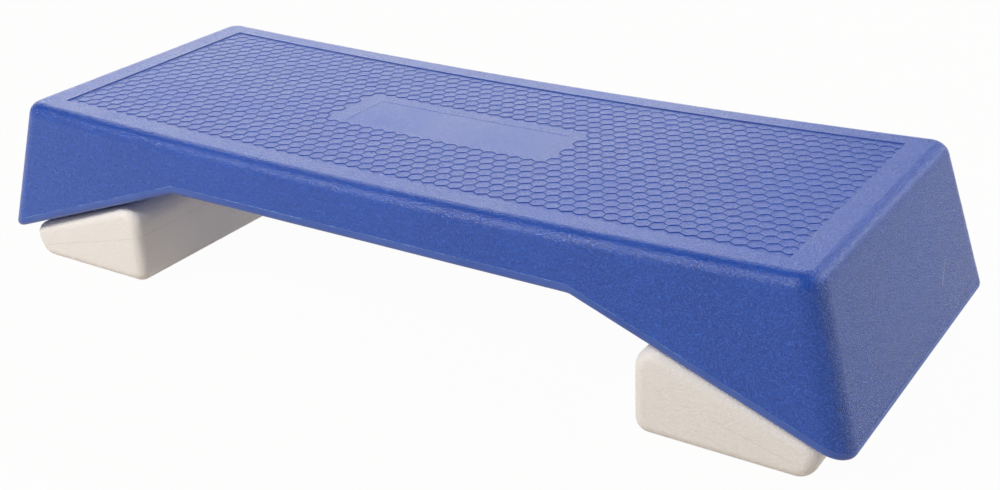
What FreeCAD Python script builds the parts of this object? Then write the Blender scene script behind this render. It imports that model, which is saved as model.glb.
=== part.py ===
"""Aerobic step platform: a welded two-shell deck standing on two removable wedge feet.

Frame: X along the deck, Y across it with the near side at -Y, Z up, origin on the floor under the
deck's middle. Lengths are in millimetres.
"""
import FreeCAD
import Part
import Sketcher
import math
import os

SIZES = {
    # Deck outline: the tip level is where the sloping ends come lowest
    "deck_length": 1010.0,
    "deck_width": 382.0,
    "end_inset": 43.5,
    "side_inset": 18.5,
    "tread_height": 186.0,
    "deck_sag": 8.8,
    "tip_height": 31.0,
    "bridge_height": 122.5,
    "bend_radius": 25.0,
    "corner_radius": 22.0,
    "top_edge_radius": 15.0,
    # Deck shells
    "shell_wall": 4.0,
    "top_plate": 4.5,
    "web_wall": 4.0,
    "rim_depth": 9.5,
    "rim_edge_radius": 5.0,
    "base_floor": 3.5,
    "base_margin": 16.0,
    # Tread field and the bare plate in its middle
    "tread_end_border": 35.5,
    "tread_side_border": 31.0,
    "tread_depth": 0.95,
    "label_length": 235.0,
    "label_width": 64.0,
    "label_depth": 0.15,
    # Feet and their seats in the slopes
    "foot_side_inset": 11.5,
    "foot_gap": 4.0,
    "foot_wall": 4.5,
    "foot_crown_radius": 22.0,
    "foot_heel_radius": 15.0,
    "seat_end_margin": 3.0,
    "seat_side_margin": 27.5,
    "seat_depth": 5.5,
    "seat_clearance": 1.0,
    # Studs, their sockets and their screws
    "stud_radius": 7.0,
    "stud_length": 22.0,
    "stud_tip_radius": 2.0,
    "stud_flange_radius": 12.0,
    "stud_flange_depth": 3.0,
    "socket_neck_radius": 12.0,
    "socket_flange_radius": 17.0,
    "socket_flange_depth": 3.0,
    "socket_height": 24.0,
    "screw_radius": 2.0,
    "screw_head_radius": 4.0,
    "screw_head_depth": 3.0,
    "screw_bite": 8.0,
    # Anti-slip pads
    "pad_radius": 17.0,
    "pad_recess": 2.0,
    "pad_proud": 1.5,
    "pad_edge": 1.0,
    "pad_inset_along": 34.0,
    "pad_inset_across": 42.0,
    # Clearances and the overrun of cutting shapes
    "running_clearance": 0.05,
    "fit_clearance": 0.1,
    "overrun": 60.0,
}

# The bend under the deck as a share of its half length, and a foot's start and length along the slope
BEND_SHARE = 0.4733
FOOT_START_SHARE = 0.2394
FOOT_LENGTH_SHARE = 0.6632

# Radii of a foot's outer corners and sides as shares of its outer end, and its weld line's heights
FOOT_TOE_SHARE = 0.4
FOOT_SOLE_SHARE = 0.51
FOOT_EDGE_SHARE = 0.31
SPLIT_INNER_SHARE = 0.6
SPLIT_OUTER_SHARE = 0.32

# Distances between the studs as shares of the seat
STUD_PITCH_SHARE = 0.65
STUD_SPREAD_SHARE = 0.7

# Places of the deck's stiffening webs, as shares of the bend's distance and of the top's width
CROSS_WEB_SHARES = (-1.0, -0.5, 0.0, 0.5, 1.0)
LONG_WEB_SHARES = (-0.14, 0.14)

X_AXIS = FreeCAD.Vector(1, 0, 0)
Y_AXIS = FreeCAD.Vector(0, 1, 0)
FULL_TURN = 360.0
NO_BOWS = {}

doc = FreeCAD.newDocument("step_platform")
size = dict(SIZES)


# Sheets


def make_sheet(name, values):
    """Put named plain numbers in a sheet, one row each."""
    sheet = doc.addObject("Spreadsheet::Sheet", name)
    for row, (alias, value) in enumerate(values.items(), 1):
        sheet.set(f"A{row}", alias)
        sheet.set(f"B{row}", repr(value))
        sheet.setAlias(f"B{row}", alias)
    doc.recompute()
    return sheet


sizes_sheet = make_sheet("Sizes", SIZES)
place_sheets = {}


def place_cell(owner, alias, value):
    """Keep a worked-out place in its owner's own sheet and give the expression that reads it."""
    name = f"{owner}_places"
    if name not in place_sheets:
        place_sheets[name] = doc.addObject("Spreadsheet::Sheet", name)
    sheet = place_sheets[name]
    row = len(sheet.getUsedCells()) // 2 + 1
    sheet.set(f"A{row}", alias)
    sheet.set(f"B{row}", repr(float(value)))
    sheet.setAlias(f"B{row}", alias)
    return f"{name}.{alias}"


# Places worked out from the sizes

half_length = size["deck_length"] / 2
size["bend_half"] = BEND_SHARE * half_length
slope_run = half_length - size["bend_half"]
slope_fall = size["bridge_height"] - size["tip_height"]
slope = slope_fall / slope_run
slope_angle = math.atan(slope)
slope_cos = math.cos(slope_angle)
slope_sin = math.sin(slope_angle)
slope_length = math.hypot(slope_run, slope_fall)

size["top_length"] = size["deck_length"] - 2 * size["end_inset"]
size["top_width"] = size["deck_width"] - 2 * size["side_inset"]
size["tread_length"] = size["top_length"] - 2 * size["tread_end_border"]
size["tread_width"] = size["top_width"] - 2 * size["tread_side_border"]
top_radius = (size["top_length"] / 2) ** 2 / (2 * size["deck_sag"]) + size["deck_sag"] / 2
tread_middle = size["tread_height"] - size["deck_sag"]

size["foot_start"] = FOOT_START_SHARE * slope_length
size["foot_top_length"] = FOOT_LENGTH_SHARE * slope_length
size["foot_width"] = size["deck_width"] - 2 * size["foot_side_inset"]
foot_end = size["foot_start"] + size["foot_top_length"]
foot_end_height = size["bridge_height"] - foot_end * slope_sin - size["foot_gap"] * slope_cos
foot_end_face = (foot_end_height - size["pad_proud"]) / slope_cos
size["foot_toe_radius"] = FOOT_TOE_SHARE * foot_end_face
size["foot_sole_radius"] = FOOT_SOLE_SHARE * foot_end_face
size["foot_edge_radius"] = FOOT_EDGE_SHARE * foot_end_face

crown_reach = size["foot_crown_radius"] / math.tan((math.pi / 2 - slope_angle) / 2)
size["seat_start"] = size["foot_start"] + crown_reach + size["seat_end_margin"]
size["seat_length"] = foot_end - size["foot_toe_radius"] - size["seat_end_margin"] - size["seat_start"]
size["seat_width"] = size["foot_width"] - 2 * size["seat_side_margin"]
size["stud_pitch"] = STUD_PITCH_SHARE * size["seat_length"]
size["stud_spread"] = STUD_SPREAD_SHARE * size["seat_width"]

derived_sheet = make_sheet("Derived", {name: value for name, value in size.items() if name not in SIZES})


def rim_height(x):
    """Height of the sloping rim under the deck's end."""
    return size["bridge_height"] - slope * (x - size["bend_half"])


def on_slope(along, above):
    """Point of the right-hand slope: along it from the bend, and above its rim plane."""
    return (
        size["bend_half"] + along * slope_cos + above * slope_sin,
        size["bridge_height"] - along * slope_sin + above * slope_cos,
    )


def top_height(x, drop=0.0):
    """Height of the sagging top, or of a surface a drop below it."""
    radius = top_radius + drop
    return tread_middle + top_radius - math.sqrt(radius**2 - x**2)


# Sketch helpers


def origin_plane(body, role):
    return next(plane for plane in body.Origin.OriginFeatures if plane.Role == role)


def add_body(name):
    body = doc.addObject("PartDesign::Body", name)
    body.Label = name
    return body


def add_sketch(body, name, role, level=None):
    """Sketch on one of the body's origin planes, lifted to a level given as an expression."""
    sketch = body.newObject("Sketcher::SketchObject", name)
    sketch.AttachmentSupport = [(origin_plane(body, role), "")]
    sketch.MapMode = "FlatFace"
    if level:
        sketch.setExpression("AttachmentOffset.Base.z", level)
    return sketch


def bind(sketch, constraint, expression):
    sketch.setExpression(f"Constraints[{sketch.addConstraint(constraint)}]", expression)


def arc_middle(start, end, radius):
    """Middle point of the short arc that lies to the right of the way from start to end."""
    chord = end - start
    rise = radius - math.sqrt(radius**2 - (chord.Length / 2) ** 2)
    side = FreeCAD.Vector(chord.y, -chord.x, 0).normalize()
    return (start + end) / 2 + side * rise


def draw_outline(sketch, points, bows):
    """Closed outline through points; bows gives the radius of each side that is an arc."""
    corners = [FreeCAD.Vector(x, y, 0) for x, y in points]
    for number, start in enumerate(corners):
        end = corners[(number + 1) % len(corners)]
        if number in bows:
            radius = bows[number]
            sketch.addGeometry(Part.Arc(start, arc_middle(start, end, radius), end), False)
            tag = place_cell(sketch.Name, f"bow_{number}", radius)
            bind(sketch, Sketcher.Constraint("Radius", number, radius), tag)
        else:
            sketch.addGeometry(Part.LineSegment(start, end), False)
    for number, corner in enumerate(corners):
        own = end_at(sketch, number, corner)
        before = (number - 1) % len(corners)
        other = end_at(sketch, before, corner)
        sketch.addConstraint(Sketcher.Constraint("Coincident", before, other, number, own))
        for kind, value in (("DistanceX", corner.x), ("DistanceY", corner.y)):
            tag = place_cell(sketch.Name, f"{kind.lower()}_{number}", value)
            bind(sketch, Sketcher.Constraint(kind, -1, 1, number, own, value), tag)


def end_at(sketch, number, corner):
    """Which end of a sketch line or arc lies at a corner: 1 for its start, 2 for its end."""
    start = sketch.getPoint(number, 1)
    end = sketch.getPoint(number, 2)
    return 1 if (start - corner).Length <= (end - corner).Length else 2


def draw_round_rectangle(sketch, length, width, radius):
    """Rectangle about the origin with round corners; each size is a pair of expression and value."""
    half_x, half_y, corner = length[1] / 2, width[1] / 2, radius[1]
    inner_x, inner_y = half_x - corner, half_y - corner
    sides = (
        ((-inner_x, -half_y), (inner_x, -half_y)),
        ((half_x, -inner_y), (half_x, inner_y)),
        ((inner_x, half_y), (-inner_x, half_y)),
        ((-half_x, inner_y), (-half_x, -inner_y)),
    )
    for start, end in sides:
        sketch.addGeometry(Part.LineSegment(FreeCAD.Vector(*start, 0), FreeCAD.Vector(*end, 0)), False)
    quarter = math.pi / 2
    centres = ((inner_x, -inner_y), (inner_x, inner_y), (-inner_x, inner_y), (-inner_x, -inner_y))
    for turn, centre in enumerate(centres):
        circle = Part.Circle(FreeCAD.Vector(*centre, 0), FreeCAD.Vector(0, 0, 1), corner)
        sketch.addGeometry(Part.ArcOfCircle(circle, (turn - 1) * quarter, turn * quarter), False)
    for turn in range(4):
        sketch.addConstraint(Sketcher.Constraint("Tangent", turn, 2, 4 + turn, 1))
        sketch.addConstraint(Sketcher.Constraint("Tangent", 4 + turn, 2, (turn + 1) % 4, 1))
    for turn, kind in ((0, "Horizontal"), (2, "Horizontal"), (1, "Vertical"), (3, "Vertical")):
        sketch.addConstraint(Sketcher.Constraint(kind, turn))
    for turn in (5, 6, 7):
        sketch.addConstraint(Sketcher.Constraint("Equal", 4, turn))
    sketch.addConstraint(Sketcher.Constraint("Symmetric", 4, 3, 6, 3, -1, 1))
    bind(sketch, Sketcher.Constraint("Radius", 4, corner), radius[0])
    bind(sketch, Sketcher.Constraint("DistanceX", 3, 1, 1, 1, length[1]), length[0])
    bind(sketch, Sketcher.Constraint("DistanceY", 0, 1, 2, 1, width[1]), width[0])


# Feature helpers


def add_extrusion(body, kind, name, sketch, width):
    """Pad or Pocket of an XZ sketch, the same distance to both sides; width is an expression."""
    feature = body.newObject(f"PartDesign::{kind}", name)
    feature.Profile = sketch
    feature.SideType = "Symmetric"
    feature.setExpression("Length", width)
    doc.recompute()
    return feature


def add_profile(body, kind, name, outline, width):
    """Extrude a closed XZ outline, given as its points and its bows, across the deck."""
    sketch = add_sketch(body, f"{name}_sketch", "XZ_Plane")
    draw_outline(sketch, *outline)
    return add_extrusion(body, kind, name, sketch, width)


def add_fillet(body, name, edges, radius):
    """Round the edges of the body's present shape that the test picks out."""
    base = body.Tip
    names = [f"Edge{number}" for number, edge in enumerate(base.Shape.Edges, 1) if edges(edge)]
    fillet = body.newObject("PartDesign::Fillet", name)
    fillet.Base = (base, names)
    fillet.setExpression("Radius", radius)
    doc.recompute()
    return fillet


def edge_middle(edge):
    return edge.valueAt((edge.FirstParameter + edge.LastParameter) / 2)


def add_revolution(name, points):
    """Body turned about its own Z axis from half an outline in its XZ plane."""
    body = add_body(name)
    sketch = add_sketch(body, f"{name}_sketch", "XZ_Plane")
    draw_outline(sketch, points, NO_BOWS)
    turned = body.newObject("PartDesign::Revolution", f"{name}_turned")
    turned.Profile = sketch
    turned.ReferenceAxis = (sketch, ["V_Axis"])
    turned.Angle = FULL_TURN
    doc.recompute()
    return body


def add_boolean(kind, name, base, tool):
    feature = doc.addObject(f"Part::{kind}", name)
    feature.Base = base
    feature.Tool = tool
    doc.recompute()
    return feature


def add_group(kind, name, shapes):
    """Several shapes fused into one, or kept apart in a compound."""
    feature = doc.addObject(f"Part::{kind}", name)
    setattr(feature, "Shapes" if kind == "MultiFuse" else "Links", shapes)
    doc.recompute()
    return feature


def add_box(name, low, high):
    """Box between two corners."""
    box = doc.addObject("Part::Box", name)
    for side, start, end in zip(("Length", "Width", "Height"), low, high):
        box.setExpression(side, place_cell(name, f"box_{side.lower()}", end - start))
    box.Placement.Base = FreeCAD.Vector(*low)
    return box


def slope_placement(along, across, above):
    """Placement on the right-hand slope with Z square to it."""
    x, z = on_slope(along, above)
    return FreeCAD.Placement(
        FreeCAD.Vector(x, across, z), FreeCAD.Rotation(Y_AXIS, math.degrees(slope_angle))
    )


def add_drill(name, radius, depth, placement):
    """Cylinder for a hole; radius and depth are expressions."""
    drill = doc.addObject("Part::Cylinder", name)
    drill.setExpression("Radius", radius)
    drill.setExpression("Height", depth)
    drill.Placement = placement
    return drill


def mirror_to_left(name, source):
    """Left-hand copy of a right-hand piece."""
    copy = doc.addObject("Part::Mirroring", name)
    copy.Source = source
    copy.Normal = X_AXIS
    doc.recompute()
    return copy


# Outlines of the deck in the XZ plane


def lower_line(lift):
    """Underside of the deck from the left tip to the right one, raised by a lift, and its bends."""
    tangent = size["bend_radius"] * math.tan(slope_angle / 2)
    past_tip = half_length + size["overrun"]
    right = [
        (size["bend_half"] - tangent, size["bridge_height"] + lift),
        (size["bend_half"] + tangent * slope_cos, size["bridge_height"] - tangent * slope_sin + lift),
        (past_tip, rim_height(past_tip) + lift),
    ]
    left = [(-x, z) for x, z in reversed(right)]
    return left + right


LOWER_BENDS = (1, 3)


def below_line(lift):
    """Outline of everything below the underside."""
    line = list(reversed(lower_line(lift)))
    floor = -size["overrun"]
    points = line + [(line[-1][0], floor), (line[0][0], floor)]
    return points, {side: size["bend_radius"] for side in LOWER_BENDS}


def above_line(lift):
    """Outline of everything above the underside."""
    line = list(reversed(lower_line(lift)))
    roof = size["tread_height"] + size["overrun"]
    points = line + [(line[-1][0], roof), (line[0][0], roof)]
    return points, {side: size["bend_radius"] for side in LOWER_BENDS}


def above_top(half, drop):
    """Outline of everything above the sagging top, or above a surface a drop below it."""
    roof = size["tread_height"] + size["overrun"]
    height = top_height(half, drop)
    points = [(-half, height), (half, height), (half, roof), (-half, roof)]
    return points, {0: top_radius + drop}


def add_deck_block(name, inset):
    """Tapered block of the deck between tip level and top, drawn in by an inset on every side."""
    body = add_body(name)
    inset_cell = place_cell(name, "inset", inset)
    corner = (f"Sizes.corner_radius - {inset_cell}", size["corner_radius"] - inset)
    levels = (("low", "Sizes.tip_height", 0), ("high", "Sizes.tread_height", 1))
    sketches = []
    for level, height, taper in levels:
        sketch = add_sketch(body, f"{name}_{level}_sketch", "XY_Plane", height)
        sides = []
        for side, draft in (("deck_length", "end_inset"), ("deck_width", "side_inset")):
            text = f"Sizes.{side} - 2 * ({taper} * Sizes.{draft} + {inset_cell})"
            sides.append((text, size[side] - 2 * (taper * size[draft] + inset)))
        draw_round_rectangle(sketch, *sides, corner)
        sketches.append(sketch)
    loft = body.newObject("PartDesign::AdditiveLoft", f"{name}_loft")
    loft.Profile = sketches[0]
    loft.Sections = [sketches[1]]
    loft.Ruled = True
    doc.recompute()
    return body


ALL_ACROSS = "Sizes.deck_width + Sizes.overrun"


# Deck


def make_deck_shell():
    """Upper moulding: grained top and sides down to the weld line, hollow, with stiffening webs."""
    outer = add_deck_block("shell_block", 0.0)
    past_end = half_length + size["overrun"]
    add_profile(outer, "Pocket", "shell_top_cut", above_top(past_end, 0.0), ALL_ACROSS)
    add_profile(outer, "Pocket", "shell_lower_cut", below_line(size["rim_depth"]), ALL_ACROSS)

    def at_top_edge(edge):
        middle = edge_middle(edge)
        return abs(middle.z - top_height(middle.x)) < size["fit_clearance"]

    add_fillet(outer, "shell_top_round", at_top_edge, "Sizes.top_edge_radius")
    tread = above_top(size["tread_length"] / 2, size["tread_depth"])
    add_profile(outer, "Pocket", "tread_recess", tread, "Derived.tread_width")
    label = above_top(size["label_length"] / 2, size["tread_depth"] + size["label_depth"])
    add_profile(outer, "Pocket", "label_recess", label, "Sizes.label_width")

    hollow = add_deck_block("shell_hollow", size["shell_wall"])
    ceiling = above_top(past_end, size["tread_depth"] + size["top_plate"])
    add_profile(hollow, "Pocket", "hollow_ceiling", ceiling, ALL_ACROSS)
    webs = add_group("MultiFuse", "shell_webs", make_webs())
    cells = add_boolean("Cut", "shell_cells", hollow, webs)
    return add_boolean("Cut", "deck_shell", outer, cells)


def make_webs():
    """Boxes that stay solid inside the hollow deck, across it and along it."""
    low, high = size["tip_height"] - size["overrun"], size["tread_height"] + size["overrun"]
    half_web = size["web_wall"] / 2
    boxes = []
    for number, share in enumerate(CROSS_WEB_SHARES):
        x = share * size["bend_half"]
        boxes.append(add_box(f"cross_web_{number}", (x - half_web, -size["deck_width"], low),
                             (x + half_web, size["deck_width"], high)))
    for number, share in enumerate(LONG_WEB_SHARES):
        y = share * size["top_width"]
        boxes.append(add_box(f"long_web_{number}", (-size["deck_length"], y - half_web, low),
                             (size["deck_length"], y + half_web, high)))
    return boxes


def slope_outline(start, length, low, high):
    """Rectangle standing square on the right-hand slope."""
    end = start + length
    points = [on_slope(start, low), on_slope(end, low), on_slope(end, high), on_slope(start, high)]
    return points, NO_BOWS


def make_deck_base():
    """Lower moulding: smooth rim under the weld line, bridge floor and the two sloping seats."""
    body = add_deck_block("base_block", 0.0)
    add_profile(body, "Pocket", "base_lower_cut", below_line(0.0), ALL_ACROSS)
    add_profile(body, "Pocket", "base_upper_cut", above_line(size["rim_depth"]), ALL_ACROSS)

    def at_rim_edge(edge):
        middle = edge_middle(edge)
        flat = abs(middle.x) < size["bend_half"]
        height = size["bridge_height"] if flat else rim_height(abs(middle.x))
        on_underside = abs(middle.z - height) < size["fit_clearance"] * size["rim_edge_radius"]
        outside = abs(middle.y) > size["top_width"] / 4 or abs(middle.x) > size["top_length"] / 2
        return on_underside and outside

    add_fillet(body, "base_rim_round", at_rim_edge, "Sizes.rim_edge_radius")
    relief_half = size["bend_half"] - size["base_margin"]
    relief_low = size["bridge_height"] + size["base_floor"]
    relief_high = size["bridge_height"] + size["rim_depth"] + size["overrun"]
    relief = [(-relief_half, relief_low), (relief_half, relief_low),
              (relief_half, relief_high), (-relief_half, relief_high)]
    relief_width = "Derived.top_width - 2 * Sizes.base_margin"
    add_profile(body, "Pocket", "bridge_relief", (relief, NO_BOWS), relief_width)
    seat = slope_outline(size["seat_start"], size["seat_length"], -size["overrun"], size["seat_depth"])
    add_profile(body, "Pocket", "right_seat", seat, "Derived.seat_width")
    left_seat = [(-x, z) for x, z in reversed(seat[0])], NO_BOWS
    add_profile(body, "Pocket", "left_seat", left_seat, "Derived.seat_width")
    holes = []
    for place, along, across in stud_places():
        at = slope_placement(along, across, 0.0)
        hole = add_drill(f"socket_hole_{place}", "Sizes.socket_neck_radius + Sizes.fit_clearance",
                         "Sizes.overrun", at)
        holes += [hole, mirror_to_left(f"socket_hole_left_{place}", hole)]
    return add_boolean("Cut", "deck_base", body, add_group("MultiFuse", "socket_holes", holes))


# Studs and sockets


def stud_places():
    """Name, distance along the slope and place across the deck of each stud of one foot."""
    middle = size["seat_start"] + size["seat_length"] / 2
    for across_name, across_sign in (("near", -1), ("far", 1)):
        for along_name, along_sign in (("inner", -1), ("outer", 1)):
            yield (f"{across_name}_{along_name}", middle + along_sign * size["stud_pitch"] / 2,
                   across_sign * size["stud_spread"] / 2)


def make_socket(name, along, across):
    """Rubber sleeve that hangs by its flange in the sloping seat and grips a stud."""
    bore = size["stud_radius"] + size["running_clearance"]
    neck, flange = size["socket_neck_radius"], size["socket_flange_radius"]
    seat_panel = size["rim_depth"] * slope_cos - size["seat_depth"]
    shoulder = seat_panel + size["socket_flange_depth"]
    points = [(bore, 0.0), (neck, 0.0), (neck, seat_panel), (flange, seat_panel), (flange, shoulder),
              (neck, shoulder), (neck, size["socket_height"]), (bore, size["socket_height"])]
    body = add_revolution(name, points)
    body.Placement = slope_placement(along, across, size["seat_depth"])
    return body


def make_stud(name, along, across):
    """Nylon peg with a flange sunk in the foot's platform and a counterbored screw hole."""
    hole = size["screw_radius"] + size["fit_clearance"]
    head = size["screw_head_radius"] + size["fit_clearance"]
    head_seat = size["stud_length"] - size["screw_head_depth"] - size["stud_tip_radius"]
    peg, flange, foot = size["stud_radius"], size["stud_flange_radius"], -size["stud_flange_depth"]
    tip = size["stud_tip_radius"]
    end = size["stud_length"]
    points = [(hole, foot), (flange, foot), (flange, 0.0), (peg, 0.0), (peg, end - tip),
              (peg - tip, end), (head, end), (head, head_seat), (hole, head_seat)]
    body = add_revolution(name, points)
    body.Placement = slope_placement(along, across, size["seat_depth"])
    return body


def make_screw(name, along, across):
    """Pan-head screw with a plain shank and a conical point."""
    shank, head = size["screw_radius"], size["screw_head_radius"]
    head_seat = size["stud_length"] - size["screw_head_depth"] - size["stud_tip_radius"]
    head_top = head_seat + size["screw_head_depth"]
    point = -size["stud_flange_depth"] - size["screw_bite"]
    points = [(0.0, point - shank), (shank, point), (shank, head_seat), (head, head_seat),
              (head, head_top), (0.0, head_top)]
    body = add_revolution(name, points)
    body.Placement = slope_placement(along, across, size["seat_depth"])
    return body


# Feet


def foot_corners(inset):
    """Crown, toe, sole and heel corners of the wedge, drawn in by an inset."""
    base = size["pad_proud"] + inset
    shoulder = -size["foot_gap"] - inset
    inner = on_slope(size["foot_start"], -size["foot_gap"])[0] + inset
    crown = (inner, rim_height(inner) + shoulder / slope_cos)
    toe = on_slope(size["foot_start"] + size["foot_top_length"] - inset, shoulder)
    sole = (toe[0] - (toe[1] - base) * slope, base)
    heel = (inner, base)
    return {"crown": crown, "toe": toe, "sole": sole, "heel": heel}


def make_foot_block(name, inset):
    """Wedge with round corners and edges, drawn in by an inset all over."""
    body = add_body(name)
    corners = foot_corners(inset)
    inset_cell = place_cell(name, "inset", inset)
    width = f"Derived.foot_width - 2 * {inset_cell}"
    add_profile(body, "Pad", f"{name}_wedge", (list(reversed(corners.values())), NO_BOWS), width)
    for corner, (x, z) in corners.items():
        radius_cell = place_cell(name, f"{corner}_radius", size[f"foot_{corner}_radius"])

        def at_corner(edge, x=x, z=z):
            place = edge_middle(edge) - FreeCAD.Vector(x, 0, z)
            return place.Length < size["fit_clearance"]

        add_fillet(body, f"{name}_{corner}_round", at_corner, f"{radius_cell} - {inset_cell}")
    side = size["foot_width"] / 2 - inset

    def at_side(edge):
        return all(abs(abs(vertex.Point.y) - side) < size["fit_clearance"] for vertex in edge.Vertexes)

    add_fillet(body, f"{name}_side_round", at_side, f"Derived.foot_edge_radius - {inset_cell}")
    return body


def make_foot_shells():
    """Upper and lower half of the right-hand foot, parted along the slanting weld line."""
    skin = make_foot_block("foot_skin", 0.0)
    core = make_foot_block("foot_core", size["foot_wall"])
    hollow = add_boolean("Cut", "foot_hollow", skin, core)
    upper_half = add_body("foot_upper_half")
    (inner, crown_height), (outer, toe_height) = foot_corners(0.0)["crown"], foot_corners(0.0)["toe"]
    inner_height = SPLIT_INNER_SHARE * crown_height
    outer_height = SPLIT_OUTER_SHARE * toe_height
    fall = (inner_height - outer_height) / (outer - inner)
    low_x, high_x = inner - size["overrun"], outer + size["overrun"]
    roof = size["tread_height"]
    split = [(low_x, inner_height + fall * size["overrun"]),
             (high_x, outer_height - fall * size["overrun"]), (high_x, roof), (low_x, roof)]
    add_profile(upper_half, "Pad", "foot_split", (split, NO_BOWS), ALL_ACROSS)
    crown_shell = add_boolean("Common", "foot_crown_shell", hollow, upper_half)
    sole_shell = add_boolean("Cut", "foot_sole_shell", hollow, upper_half)

    platform = add_body("foot_platform")
    clear = size["seat_clearance"]
    rise = slope_outline(size["seat_start"] + clear, size["seat_length"] - 2 * clear,
                         -size["foot_gap"] - size["foot_wall"] / 2, size["seat_depth"])
    rise_width = "Derived.seat_width - 2 * Sizes.seat_clearance"
    add_profile(platform, "Pad", "foot_platform_pad", rise, rise_width)
    solid_crown = add_group("MultiFuse", "foot_solid_crown", [crown_shell, platform])
    hollow_wall = clear + size["foot_wall"]
    void = add_body("platform_hollow")
    space_low = -size["foot_gap"] - 2 * size["foot_wall"]
    space = slope_outline(size["seat_start"] + hollow_wall, size["seat_length"] - 2 * hollow_wall,
                          space_low, size["seat_depth"] - size["foot_wall"])
    space_width = "Derived.stud_spread - 4 * Sizes.stud_flange_radius"
    add_profile(void, "Pad", "platform_hollow_pad", space, space_width)
    crown = add_boolean("Cut", "foot_crown", solid_crown, void)
    seats = []
    for place, along, across in stud_places():
        flange_at = slope_placement(along, across, size["seat_depth"] - size["stud_flange_depth"])
        seats.append(add_drill(f"flange_seat_{place}", "Sizes.stud_flange_radius + Sizes.fit_clearance",
                               "Sizes.overrun", flange_at))
        depth = (size["seat_depth"] - size["stud_flange_depth"] - size["screw_bite"]
                 - size["screw_radius"] - size["fit_clearance"])
        seats.append(add_drill(f"pilot_hole_{place}", "Sizes.screw_radius + Sizes.fit_clearance",
                               "Sizes.overrun", slope_placement(along, across, depth)))
    stud_seats = add_group("MultiFuse", "stud_seats", seats)
    upper = add_boolean("Cut", "right_foot_upper_shell", crown, stud_seats)

    recesses = []
    for place, x, y in pad_places():
        start = FreeCAD.Vector(x, y, size["pad_proud"] - size["overrun"])
        at = FreeCAD.Placement(start, FreeCAD.Rotation())
        recesses.append(add_drill(f"pad_recess_{place}", "Sizes.pad_radius + Sizes.fit_clearance",
                                  "Sizes.overrun + Sizes.pad_recess", at))
    lower = add_boolean("Cut", "right_foot_lower_shell", sole_shell,
                        add_group("MultiFuse", "pad_recesses", recesses))
    return upper, lower


# Pads


def pad_places():
    """Name and place of each anti-slip pad under the right-hand foot."""
    corners = foot_corners(0.0)
    along = {"inner": corners["heel"][0] + size["pad_inset_along"],
             "outer": corners["sole"][0] - size["pad_inset_along"]}
    across = size["foot_width"] / 2 - size["pad_inset_across"]
    for across_name, y in (("near", -across), ("far", across)):
        for along_name, x in along.items():
            yield f"{across_name}_{along_name}", x, y


def make_pad(name, x, y):
    """Round rubber pad with a chamfered tread edge, let into the sole."""
    edge, radius = size["pad_edge"], size["pad_radius"]
    top = size["pad_proud"] + size["pad_recess"]
    points = [(0.0, 0.0), (radius - edge, 0.0), (radius, edge), (radius, top), (0.0, top)]
    body = add_revolution(name, points)
    body.Placement.Base = FreeCAD.Vector(x, y, 0.0)
    return body


# Assembly


def make_side_pieces():
    """Right-hand pieces and their left-hand mirror images, by node name."""
    pieces = {}
    pieces["right_foot_upper_shell"], pieces["right_foot_lower_shell"] = make_foot_shells()
    screws = []
    for place, along, across in stud_places():
        pieces[f"right_{place}_socket"] = make_socket(f"right_{place}_socket", along, across)
        pieces[f"right_{place}_stud"] = make_stud(f"right_{place}_stud", along, across)
        screws.append(make_screw(f"screw_{place}", along, across))
    pieces["right_stud_screws"] = add_group("Compound", "right_stud_screws", screws)
    for place, x, y in pad_places():
        pieces[f"right_{place}_pad"] = make_pad(f"right_{place}_pad", x, y)
    for name in list(pieces):
        left = name.replace("right_", "left_", 1)
        pieces[left] = mirror_to_left(left, pieces[name])
    return pieces


def check_and_write(pieces):
    """Stop on any failed object or bad shape, then write one file for each piece."""
    doc.recompute()
    failed = [item.Name for item in doc.Objects if {"Invalid", "Error"} & set(item.State)]
    if failed:
        raise RuntimeError(f"failed objects: {failed}")
    for name, piece in pieces.items():
        if piece.Shape.isNull() or not piece.Shape.isValid():
            raise RuntimeError(f"bad shape: {name}")
    os.makedirs("parts", exist_ok=True)
    for name, piece in pieces.items():
        piece.Label = name
        piece.Shape.exportStep(os.path.join("parts", f"{name}.step"))
        box = piece.Shape.BoundBox
        print(f"{name}: {len(piece.Shape.Solids)} solids, {piece.Shape.Volume:.0f} mm3, "
              f"box {box.XLength:.1f} x {box.YLength:.1f} x {box.ZLength:.1f} mm")


nodes = {"deck_shell": make_deck_shell(), "deck_base": make_deck_base()}
nodes.update(make_side_pieces())
check_and_write(nodes)
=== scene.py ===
# %% [markdown]
# # An aerobic step platform
# This lesson dresses a long gym step: a blue hollow plastic deck with a honeycomb tread, standing on two
# light grey wedge feet. Its solids are already modelled to size, so here we only look after what the eye
# meets: the moulded grain, the raised honeycomb, the weld beads, the rubber pads and the light.

# %% Load the step
import math

import bmesh
import bpy
from mathutils import Matrix, Vector


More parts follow.
